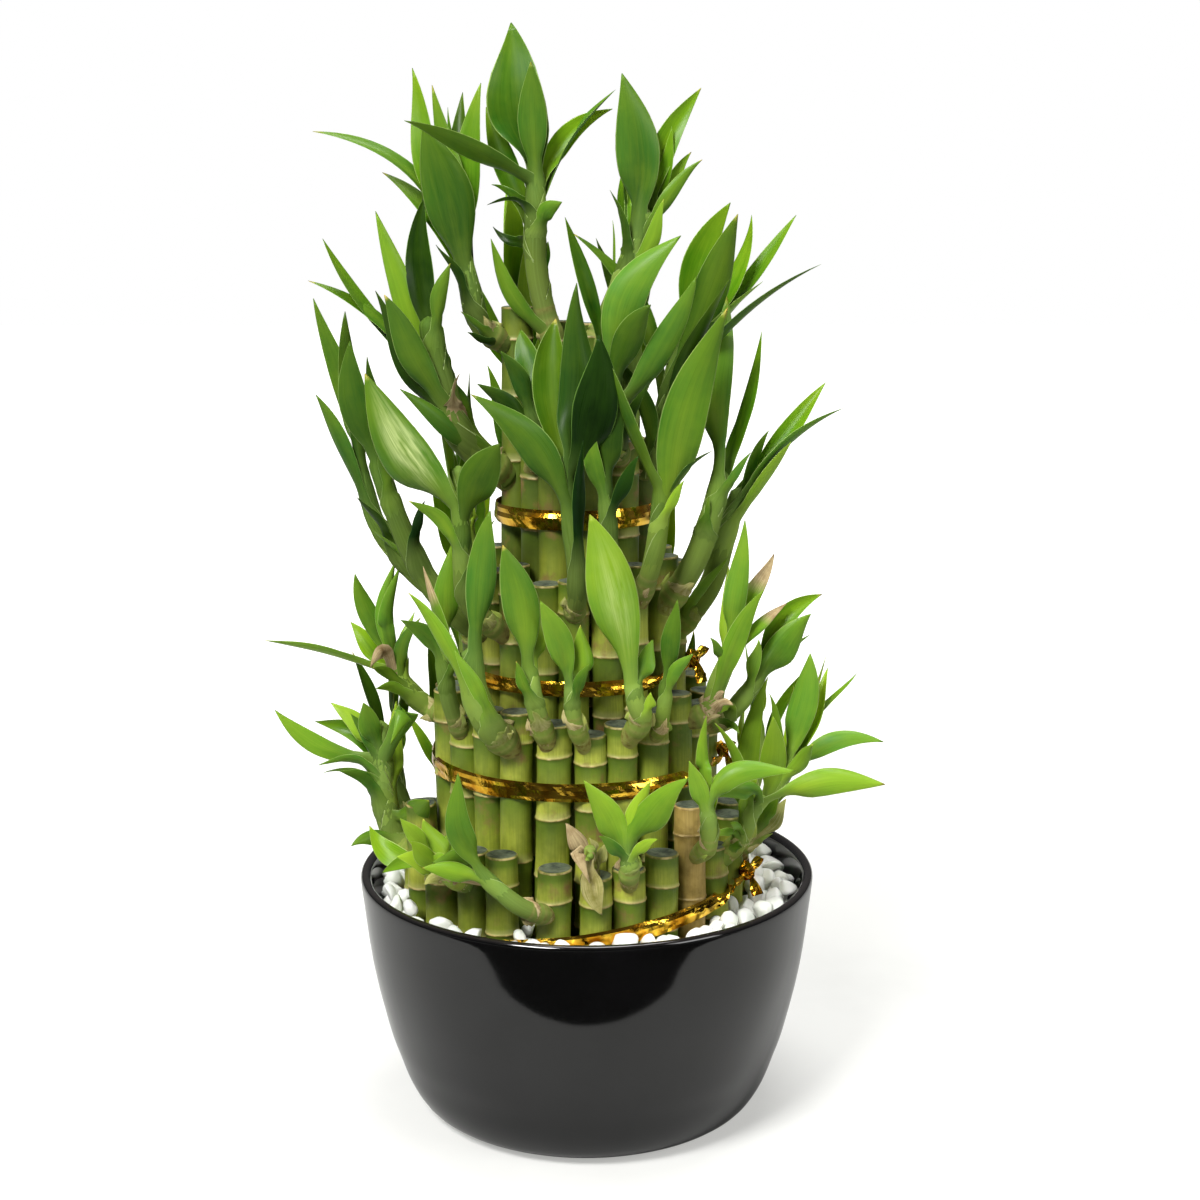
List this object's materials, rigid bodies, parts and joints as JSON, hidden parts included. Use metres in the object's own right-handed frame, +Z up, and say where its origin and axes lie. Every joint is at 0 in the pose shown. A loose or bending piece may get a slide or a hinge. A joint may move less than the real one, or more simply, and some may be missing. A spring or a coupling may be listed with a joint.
{
  "type": "lucky bamboo in a pot",
  "caption": "Lucky bamboo: cut canes tied in stepped tiers with leafy shoots, standing in a glazed bowl of quartz pebbles. Rests on its flat foot.",
  "frame": {"origin": "centre of the bowl's foot, on the surface that it stands on", "axes": "+Z up the canes, -Y towards the front that the picture shows, +X to its right"},
  "size_m": [0.217, 0.1705, 0.385],
  "materials": {
    "glaze": "deep black gloss glaze",
    "quartz": "pale translucent quartz, satin",
    "foil": "gold metallised film, crinkled",
    "cane": "living green cane with pale joint rings, satin",
    "leaf": "living leaf and cane, soft gloss with fine long veins"
  },
  "bodies": {
    "root": {"pot": "glaze", "pebble_bed": "quartz", "upper_tie": "foil", "middle_tie": "foil", "lower_tie": "foil", "outer_tie": "foil", "heart_canes_1": "leaf", "heart_canes_2": "leaf", "upper_cane_1": "leaf", "upper_canes_2": "leaf", "upper_canes_3": "leaf", "upper_canes_4": "leaf", "upper_canes_5": "leaf", "upper_canes_6": "leaf", "middle_canes_1": "leaf", "middle_canes_2": "leaf", "middle_canes_3": "leaf", "middle_canes_4": "leaf", "middle_canes_5": "leaf", "middle_canes_6": "leaf", "middle_canes_7": "leaf", "middle_canes_8": "leaf", "middle_canes_9": "leaf", "lower_cane_1": "leaf", "lower_cane_2": "leaf", "lower_cane_3": "cane", "lower_cane_4": "leaf", "lower_cane_5": "leaf", "lower_cane_6": "leaf", "lower_cane_7": "leaf", "lower_cane_8": "cane", "lower_cane_9": "leaf", "lower_cane_10": "leaf", "lower_canes_11": "leaf", "lower_canes_12": "cane", "lower_canes_13": "leaf", "lower_canes_14": "leaf", "lower_canes_15": "cane", "lower_canes_16": "leaf", "lower_canes_17": "leaf", "outer_cane_1": "leaf", "outer_cane_2": "cane", "outer_cane_3": "leaf", "outer_cane_4": "cane", "outer_cane_5": "cane", "outer_cane_6": "cane", "outer_cane_7": "leaf", "outer_cane_8": "cane", "outer_cane_9": "leaf", "outer_cane_10": "leaf", "outer_cane_11": "leaf", "outer_cane_12": "cane", "outer_canes_13": "leaf", "outer_canes_14": "leaf", "outer_canes_15": "leaf", "outer_canes_16": "leaf", "outer_canes_17": "leaf", "outer_canes_18": "cane"}
  },
  "joints": []
}
